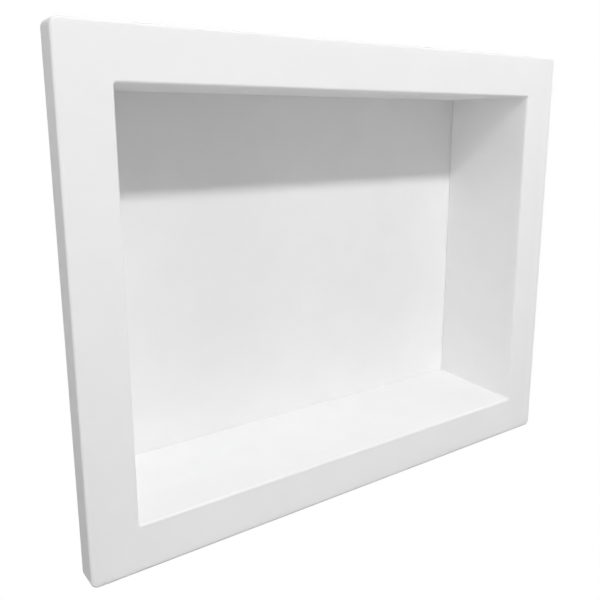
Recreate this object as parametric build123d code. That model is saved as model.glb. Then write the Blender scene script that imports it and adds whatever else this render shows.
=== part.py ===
# Recessed shower niche, bonded from white solid-surface sheet.
# A face frame laps the wall round its cut-out. Behind it four panels make a shallow box, and a back panel
# closes it. The sill rises to the back, so that water runs out over the frame's lower edge.
# X runs right, Y into the wall and Z up. The origin is the middle of the frame, on the wall's face.
import os
from math import cos, radians, tan

from build123d import *

# Face frame
frame_width = 380.0
frame_height = 300.0
frame_thickness = 15.0
frame_border = 29.5
frame_corner_radius = 4.5
frame_edge_round = 1.6
opening_edge_round = 1.6
opening_corner_radius = 1.2

# Box behind the frame
niche_depth = 75.0
panel_thickness = 6.0
back_thickness = 6.0
sill_slope = 3.5

# Bonded joints and the sheets' broken edges
rebate_depth = 3.0
glue_gap = 0.1
sheet_arris = 0.5

# Planes across the depth: the frame's front, the rebate's floor and the front of the back panel
front_y = -frame_thickness
seat_y = -rebate_depth
back_y = front_y + niche_depth

# The opening and the box that stands behind it
opening_side = frame_width / 2 - frame_border
opening_top = frame_height / 2 - frame_border
opening_bottom = frame_border - frame_height / 2
box_side = opening_side + panel_thickness
box_top = opening_top + panel_thickness


def sill_at(y):
    """Height of the sill's upper face at a depth."""
    return opening_bottom + (y - front_y) * tan(radians(sill_slope))


def underside_at(y):
    """Height of the sill's lower face at a depth."""
    return sill_at(y) - panel_thickness / cos(radians(sill_slope))


def prism(corners, left, right):
    """A solid with a Y-Z outline, running along X from left to right."""
    outline = Plane.YZ.offset(left) * Polygon(*corners, align=None)
    return extrude(outline, amount=right - left, dir=(1, 0, 0))


def face_towards(solid, direction):
    """The face of a solid that looks most nearly in a direction."""
    return max(solid.faces(), key=lambda face: face.normal_at().dot(Vector(direction)))


def bonded_panel(corners, left, right, inward):
    """A strip of the box. Its outer edges are broken, and so is the rear edge inside the niche, which
    leaves a fine groove along the back panel."""
    panel = prism(corners, left, right)
    outer_edges = face_towards(panel, -Vector(inward)).edges()
    rear_edges = face_towards(panel, (0, 1, 0)).edges()
    niche_edge = rear_edges.sort_by(Axis((0, 0, 0), inward))[-1]
    return chamfer([*outer_edges, niche_edge], sheet_arris)


def opening_cutter():
    """What the opening takes out of the frame: square through, with its floor on the slope of the sill."""
    past_front = 2 * front_y
    past_back = -front_y
    corners = (
        (past_front, sill_at(past_front)),
        (past_back, sill_at(past_back)),
        (past_back, opening_top),
        (past_front, opening_top),
    )
    block = prism(corners, -opening_side, opening_side)
    corner_edges = block.edges().filter_by(lambda edge: abs(edge.tangent_at(0.5).Y) > 0.5)
    return fillet(corner_edges, opening_corner_radius)


def rebate_cutter():
    """The step round the back of the opening that the four panels seat in."""
    past_back = rebate_depth
    corners = (
        (seat_y, underside_at(seat_y) - glue_gap),
        (past_back, underside_at(past_back) - glue_gap),
        (past_back, box_top + glue_gap),
        (seat_y, box_top + glue_gap),
    )
    return prism(corners, -box_side - glue_gap, box_side + glue_gap)


def make_face_frame():
    """One sheet with the opening cut through it, its front edges eased and its back rebated."""
    outline = RectangleRounded(frame_width, frame_height, frame_corner_radius)
    sheet = extrude(Plane.XZ * outline, amount=frame_thickness)
    frame = sheet - opening_cutter()
    room_side, wall_side = (0, -1, 0), (0, 1, 0)
    frame = fillet(face_towards(frame, room_side).outer_wire().edges(), frame_edge_round)
    frame = fillet(face_towards(frame, room_side).inner_wires()[0].edges(), opening_edge_round)
    frame = chamfer(face_towards(frame, wall_side).outer_wire().edges(), sheet_arris)
    return frame - rebate_cutter()


def make_side_panel(inner_x, outer_x):
    """A side wall the full height of the box, with its foot cut to the sill's slope."""
    corners = (
        (seat_y, underside_at(seat_y)),
        (back_y, underside_at(back_y)),
        (back_y, box_top),
        (seat_y, box_top),
    )
    left, right = sorted((inner_x, outer_x))
    return bonded_panel(corners, left, right, inward=(inner_x - outer_x, 0, 0))


def make_top_panel():
    """The ceiling, between the side walls."""
    corners = (
        (seat_y, opening_top),
        (back_y, opening_top),
        (back_y, box_top),
        (seat_y, box_top),
    )
    return bonded_panel(corners, -opening_side, opening_side, inward=(0, 0, -1))


def make_sill_panel():
    """The floor, between the side walls, with its ends bevelled to stand on the slope."""
    corners = (
        (seat_y, underside_at(seat_y)),
        (back_y, underside_at(back_y)),
        (back_y, sill_at(back_y)),
        (seat_y, sill_at(seat_y)),
    )
    return bonded_panel(corners, -opening_side, opening_side, inward=(0, 0, 1))


def make_back_panel():
    """The sheet bonded over the rear ends of the four panels, with its outer edges broken."""
    corners = (
        (back_y, underside_at(back_y)),
        (back_y + back_thickness, underside_at(back_y)),
        (back_y + back_thickness, box_top),
        (back_y, box_top),
    )
    sheet = prism(corners, -box_side, box_side)
    return chamfer(face_towards(sheet, (0, 1, 0)).edges(), sheet_arris)


pieces = {
    "face_frame": make_face_frame(),
    "top_panel": make_top_panel(),
    "sill_panel": make_sill_panel(),
    "left_panel": make_side_panel(-opening_side, -box_side),
    "right_panel": make_side_panel(opening_side, box_side),
    "back_panel": make_back_panel(),
}

os.makedirs("parts", exist_ok=True)
for node, piece in pieces.items():
    export_step(piece, f"parts/{node}.step")
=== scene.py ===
# Recessed shower niche, bonded from white solid-surface sheet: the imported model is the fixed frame, and
# this script gives its sheets their sanded finish, lights them and sets the camera.
import math

import bmesh
import bpy
from mathutils import Euler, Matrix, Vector


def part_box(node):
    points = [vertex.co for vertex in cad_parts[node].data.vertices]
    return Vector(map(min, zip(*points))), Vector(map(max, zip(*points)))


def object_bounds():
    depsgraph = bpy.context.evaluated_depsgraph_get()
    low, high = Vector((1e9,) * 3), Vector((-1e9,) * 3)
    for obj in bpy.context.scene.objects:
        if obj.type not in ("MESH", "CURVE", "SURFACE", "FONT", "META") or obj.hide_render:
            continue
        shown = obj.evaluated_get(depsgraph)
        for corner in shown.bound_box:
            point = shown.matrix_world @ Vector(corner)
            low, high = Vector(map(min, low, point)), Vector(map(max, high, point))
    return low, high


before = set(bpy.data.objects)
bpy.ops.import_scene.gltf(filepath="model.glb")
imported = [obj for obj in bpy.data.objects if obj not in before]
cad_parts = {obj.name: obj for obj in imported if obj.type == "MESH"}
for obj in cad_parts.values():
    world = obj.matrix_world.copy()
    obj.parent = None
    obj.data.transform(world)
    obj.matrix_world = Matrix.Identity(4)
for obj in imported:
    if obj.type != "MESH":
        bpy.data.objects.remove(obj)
cad_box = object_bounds()


# Face frame
# One sheet of mineral-filled acrylic with the opening routed out of it and its front edges eased. The front
# and the edges are sanded to a fine satin, and the back keeps the straight marks of the mill's belt sander.
MM = 0.001
SHEET_WHITE = (0.893, 0.893, 0.893, 1.0)
SHEET_IOR = 1.5
CLOUD_SIZE = 24 * MM
CLOUD_LOW = 0.3
CLOUD_HIGH = 0.7
CLOUD_ROUGHENING = 0.10
CURL_SIZE = 5.3 * MM
CURL_ROUGHENING = 0.06
CURL_RELIEF = 4.0
GRAIN_SIZE = 0.4 * MM
BELT_MARK_LENGTH = 60 * MM
BELT_MARK_WIDTH = 0.5 * MM
BELT_DULLING = 0.07
BELT_ROUGHNESS = 0.55
BELT_ROUGHENING = 0.15
BELT_RELIEF = 5.0
RELIEF_DEPTH = 0.02 * MM
RELIEF_STRENGTH = 0.15
HIDDEN_FADE = 0.3 * MM


def add_node(tree, kind, inputs, **settings):
    """Adds a shader node with its settings, then gives each input a value or another node's output."""
    made = tree.nodes.new("ShaderNode" + kind)
    for name, value in settings.items():
        setattr(made, name, value)
    for socket, value in inputs.items():
        if isinstance(value, bpy.types.NodeSocket):
            tree.links.new(value, made.inputs[socket])
        else:
            made.inputs[socket].default_value = value
    return made


def add_math(tree, operation, *values):
    """Adds one step of arithmetic on two or three values, and returns its result."""
    return add_node(tree, "Math", dict(enumerate(values)), operation=operation).outputs[0]


def add_noise(tree, place, size, detail):
    """Adds noise with blotches of a size and some octaves of finer detail, and returns its value."""
    return add_node(tree, "TexNoise", {"Vector": place, "Scale": 1 / size, "Detail": detail}).outputs["Fac"]


def sanded_sheet_group():
    """Finish of a sheet. The side that shows has orbital sanding curls over a fine grain. Past a plane, its
    hidden side has the straight marks of a belt sander, and is duller."""
    group = bpy.data.node_groups.new("sanded_sheet", "ShaderNodeTree")
    takes = {
        "Tone": "Color",
        "Clouding": "Float",
        "Satin": "Float",
        "Outward": "Vector",
        "Hidden From": "Float",
        "Marks Per Metre": "Vector",
    }
    gives = {"Color": "Color", "Roughness": "Float", "Height": "Float"}
    for way, sockets in {"INPUT": takes, "OUTPUT": gives}.items():
        for name, kind in sockets.items():
            group.interface.new_socket(name, in_out=way, socket_type="NodeSocket" + kind)
    taken = group.nodes.new("NodeGroupInput").outputs
    given = group.nodes.new("NodeGroupOutput").inputs
    place = add_node(group, "TexCoord", {}).outputs["Object"]

    depth = add_node(group, "VectorMath", {0: place, 1: taken["Outward"]}, operation="DOT_PRODUCT")
    past_plane = add_math(group, "SUBTRACT", depth.outputs["Value"], taken["Hidden From"])
    hidden = add_node(group, "MapRange", {"Value": past_plane, "From Max": HIDDEN_FADE}).outputs["Result"]

    clouds = add_noise(group, place, CLOUD_SIZE, detail=3.0)
    grain = add_noise(group, place, GRAIN_SIZE, detail=2.0)
    cells = add_node(group, "TexVoronoi", {"Vector": place, "Scale": 1 / CURL_SIZE})
    curls = add_math(group, "PINGPONG", cells.outputs["Distance"], CURL_ROUGHENING)
    drawn_out = add_node(group, "VectorMath", {0: place, 1: taken["Marks Per Metre"]}, operation="MULTIPLY")
    marks = add_noise(group, drawn_out.outputs["Vector"], size=1.0, detail=4.0)

    cloud_span = {"From Min": CLOUD_LOW, "From Max": CLOUD_HIGH, "To Min": -0.5, "To Max": 0.5}
    cloudy = add_node(group, "MapRange", {"Value": clouds, **cloud_span})
    clouding = add_math(group, "MULTIPLY", cloudy.outputs["Result"], taken["Clouding"])
    hidden_marks = add_math(group, "MULTIPLY", marks, hidden)
    shade = add_math(group, "MULTIPLY_ADD", hidden_marks, BELT_DULLING, clouding)
    light = add_math(group, "SUBTRACT", 1.0, shade)
    dimmed = {"Factor": 1.0, "A": taken["Tone"], "B": light}
    color = add_node(group, "Mix", dimmed, data_type="RGBA", blend_type="MULTIPLY")
    group.links.new(color.outputs["Result"], given["Color"])

    uneven_satin = add_math(group, "MULTIPLY_ADD", clouds, CLOUD_ROUGHENING, taken["Satin"])
    curled_satin = add_math(group, "ADD", uneven_satin, curls)
    belt_satin = add_math(group, "MULTIPLY_ADD", marks, BELT_ROUGHENING, BELT_ROUGHNESS)
    roughness = add_node(group, "Mix", {"Factor": hidden, "A": curled_satin, "B": belt_satin})
    group.links.new(roughness.outputs["Result"], given["Roughness"])

    fine_relief = add_math(group, "MULTIPLY_ADD", curls, CURL_RELIEF, grain)
    belt_relief = add_math(group, "MULTIPLY", marks, BELT_RELIEF)
    height = add_node(group, "Mix", {"Factor": hidden, "A": fine_relief, "B": belt_relief})
    group.links.new(height.outputs["Result"], given["Height"])
    return group


SANDED_SHEET = sanded_sheet_group()


def finish_sheet(node, outward, hidden_from, belt_axis, clouding, satin):
    """Gives a node its sanded white. Its hidden side lies past a distance along outward, with belt marks
    along an axis."""
    material = bpy.data.materials.new(node + "_satin")
    material.use_nodes = True
    tree = material.node_tree
    marks_per_metre = [1 / BELT_MARK_WIDTH] * 3
    marks_per_metre["XYZ".index(belt_axis)] = 1 / BELT_MARK_LENGTH
    settings = {
        "Tone": SHEET_WHITE,
        "Clouding": clouding,
        "Satin": satin,
        "Outward": outward,
        "Hidden From": hidden_from,
        "Marks Per Metre": marks_per_metre,
    }
    finish = add_node(tree, "Group", settings, node_tree=SANDED_SHEET).outputs
    relief = {"Strength": RELIEF_STRENGTH, "Distance": RELIEF_DEPTH, "Height": finish["Height"]}
    bump = add_node(tree, "Bump", relief)
    shader = tree.nodes["Principled BSDF"].inputs
    shader["IOR"].default_value = SHEET_IOR
    tree.links.new(finish["Color"], shader["Base Color"])
    tree.links.new(finish["Roughness"], shader["Roughness"])
    tree.links.new(bump.outputs["Normal"], shader["Normal"])
    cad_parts[node].material_slots[0].material = material


BACK_ARRIS = 0.5 * MM
INTO_WALL = Vector((0, 1, 0))
frame_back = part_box("face_frame")[1].y
finish_sheet("face_frame", INTO_WALL, frame_back - BACK_ARRIS, belt_axis="X", clouding=0.015, satin=0.40)


# Box panels
# Four strips of thin sheet, bonded to each other and into the rebate behind the frame. Inside the niche they
# are sanded as the frame is, only less finely, because the sander doesn't reach into the corners.
SHOWN_SKIN = 0.25 * MM


def finish_panel(node, inward, belt_axis):
    """Finishes a panel of the box. The largest face that looks into the niche is the one that shows, and a
    skin behind it the hidden side begins."""
    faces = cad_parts[node].data.polygons
    shown = max(faces, key=lambda face: face.area * face.normal.dot(inward))
    outward = -shown.normal
    hidden_from = outward.dot(shown.center) + SHOWN_SKIN
    finish_sheet(node, outward, hidden_from, belt_axis, clouding=0.02, satin=0.45)


finish_panel("top_panel", inward=(0, 0, -1), belt_axis="X")
finish_panel("sill_panel", inward=(0, 0, 1), belt_axis="X")
finish_panel("left_panel", inward=(1, 0, 0), belt_axis="Z")
finish_panel("right_panel", inward=(-1, 0, 0), belt_axis="Z")


# Back panel
# The thin sheet that closes the box, bonded over the strips' rear ends. Its niche side is sanded as theirs,
# and its rear keeps the belt sander's marks.
finish_panel("back_panel", inward=(0, -1, 0), belt_axis="X")


# Floor
# A pale floor under the frame. A dark strip along its foot keeps light off its lower round, and a grey card
# beside it keeps light off the lower end of its left edge. The camera sees all three as plain white.
FLOOR_SIZE = 8.0
FLOOR_PALE = (0.5, 0.5, 0.5, 1.0)
FOOT_STRIP_DEPTH = 2 * MM
FOOT_STRIP_DARK = (0.02, 0.02, 0.02, 1.0)
CARD_WIDTH = 200 * MM
CARD_REACH = 225 * MM
CARD_GREY = (0.35, 0.35, 0.35, 1.0)
CARD_LIFT = 0.05 * MM
WHITE = (1.0, 1.0, 1.0, 1.0)


def stage_sheet(name, low, high, shade):
    """A level sheet of the stage between two corners, plain white to the camera and matt to the light."""
    sheet_mesh = bmesh.new()
    bmesh.ops.create_grid(sheet_mesh, x_segments=1, y_segments=1, size=0.5)
    bmesh.ops.scale(sheet_mesh, verts=sheet_mesh.verts, vec=(high.x - low.x, high.y - low.y, 1))
    bmesh.ops.translate(sheet_mesh, verts=sheet_mesh.verts, vec=(low + high) / 2)
    sheet_data = bpy.data.meshes.new(name)
    sheet_mesh.to_mesh(sheet_data)
    sheet_mesh.free()
    sheet = bpy.data.objects.new(name, sheet_data)
    bpy.context.scene.collection.objects.link(sheet)
    material = bpy.data.materials.new(name)
    material.use_nodes = True
    tree = material.node_tree
    matt = tree.nodes["Principled BSDF"]
    matt.inputs["Base Color"].default_value = shade
    matt.inputs["Roughness"].default_value = 1.0
    matt.inputs["Specular IOR Level"].default_value = 0.0
    plain = add_node(tree, "Emission", {"Color": WHITE})
    seen = add_node(tree, "LightPath", {}).outputs["Is Camera Ray"]
    either = add_node(tree, "MixShader", {0: seen, 1: matt.outputs["BSDF"], 2: plain.outputs["Emission"]})
    tree.links.new(either.outputs["Shader"], tree.nodes["Material Output"].inputs["Surface"])
    sheet_data.materials.append(material)


foot = cad_box[0].z
reach = FLOOR_SIZE / 2
stage_sheet("studio_floor", Vector((-reach, -reach, foot)), Vector((reach, reach, foot)), FLOOR_PALE)
lifted = foot + CARD_LIFT
strip_low = Vector((cad_box[0].x, cad_box[0].y - FOOT_STRIP_DEPTH, lifted))
strip_high = Vector((cad_box[1].x, cad_box[0].y, lifted))
stage_sheet("foot_strip", strip_low, strip_high, FOOT_STRIP_DARK)
card_low = Vector((cad_box[0].x - CARD_WIDTH, -CARD_REACH, lifted))
card_high = Vector((cad_box[0].x, CARD_REACH, lifted))
stage_sheet("grey_card", card_low, card_high, CARD_GREY)


# Lamps and room
# One small lamp above and in front, which throws the lintel's shadow into the niche, soft lamps overhead and
# behind the frame's top edge, and a white card on each side. The room is pale in front and behind.
def studio_lamp(name, place, aim, width, height, watts):
    """A rectangular lamp of a size in metres, turned to a point, with its upper edge level."""
    lamp_data = bpy.data.lights.new(name, "AREA")
    lamp_data.shape = "RECTANGLE"
    lamp_data.size = width
    lamp_data.size_y = height
    lamp_data.energy = watts
    lamp = bpy.data.objects.new(name, lamp_data)
    lamp.location = place
    lamp.rotation_euler = (Vector(aim) - Vector(place)).to_track_quat("-Z", "Y").to_euler()
    lamp.visible_camera = False
    bpy.context.scene.collection.objects.link(lamp)


studio_lamp("key_lamp", place=(0, -1.14, 1.09), aim=(0, 0, 0), width=0.2, height=0.1, watts=12.6)
studio_lamp("overhead_lamp", place=(0, -0.6, 1.8), aim=(0, -0.6, 0), width=1.6, height=0.6, watts=2.2)
studio_lamp("rim_lamp", place=(0, 0.3, 0.5), aim=(0, 0, 0.1), width=0.8, height=0.2, watts=0.7)
studio_lamp("left_card", place=(-2.2, -0.6, 0.5), aim=(0, 0, 0), width=1.5, height=1.5, watts=16.6)
studio_lamp("right_card", place=(1.8, -0.8, 1.1), aim=(0, 0, 0), width=1.3, height=1.3, watts=11.4)

ROOM_LIGHT_FRONT = 0.455
ROOM_LIGHT_SIDES = 0.0
ROOM_LIGHT_BACK = 0.60
BACKDROP_WHITE = 1.0
room = bpy.data.worlds.new("pale_room")
room.use_nodes = True
room_tree = room.node_tree
look = add_node(room_tree, "TexCoord", {}).outputs["Generated"]
look_axes = add_node(room_tree, "SeparateXYZ", {"Vector": look})
front_to_back = add_node(room_tree, "MapRange", {"Value": look_axes.outputs["Y"], "From Min": -1.0})
room_ramp = add_node(room_tree, "ValToRGB", {"Fac": front_to_back.outputs["Result"]})
room_stops = room_ramp.color_ramp.elements
room_stops.new(0.5)
for stop, strength in zip(room_stops, (ROOM_LIGHT_FRONT, ROOM_LIGHT_SIDES, ROOM_LIGHT_BACK)):
    stop.color = (strength, strength, strength, 1.0)
room_seen = add_node(room_tree, "LightPath", {}).outputs["Is Camera Ray"]
room_blend = {"Factor": room_seen, "A": room_ramp.outputs["Color"], "B": BACKDROP_WHITE}
room_level = add_node(room_tree, "Mix", room_blend)
room_tree.links.new(room_level.outputs["Result"], room_tree.nodes["Background"].inputs["Strength"])
room_tree.nodes["Background"].inputs["Color"].default_value = WHITE
bpy.context.scene.world = room


# Camera
# It stands close to the niche, to the left of it and a little above its middle, and looks right and down. Its
# place, turns and lens are worked out from where the frame's edges run in the photograph.
CAMERA_PLACE = Vector((-291.1, -357.5, 99.2)) * MM
CAMERA_TURN_RIGHT = 35.26
CAMERA_TILT_DOWN = 12.41
CAMERA_LEAN_RIGHT = 0.16
CAMERA_LENS = 41.84
CAMERA_SHIFT_UP = -0.0327
camera_data = bpy.data.cameras.new("camera")
camera_data.sensor_width = 36.0
camera_data.lens = CAMERA_LENS
camera_data.shift_y = CAMERA_SHIFT_UP
camera_data.clip_start = 10 * MM
camera = bpy.data.objects.new("camera", camera_data)
camera.location = CAMERA_PLACE
camera_turns = (90 - CAMERA_TILT_DOWN, CAMERA_LEAN_RIGHT, -CAMERA_TURN_RIGHT)
camera.rotation_euler = Euler([math.radians(turn) for turn in camera_turns], "XYZ")
bpy.context.scene.collection.objects.link(camera)
bpy.context.scene.camera = camera
bpy.context.scene.view_settings.view_transform = "Standard"
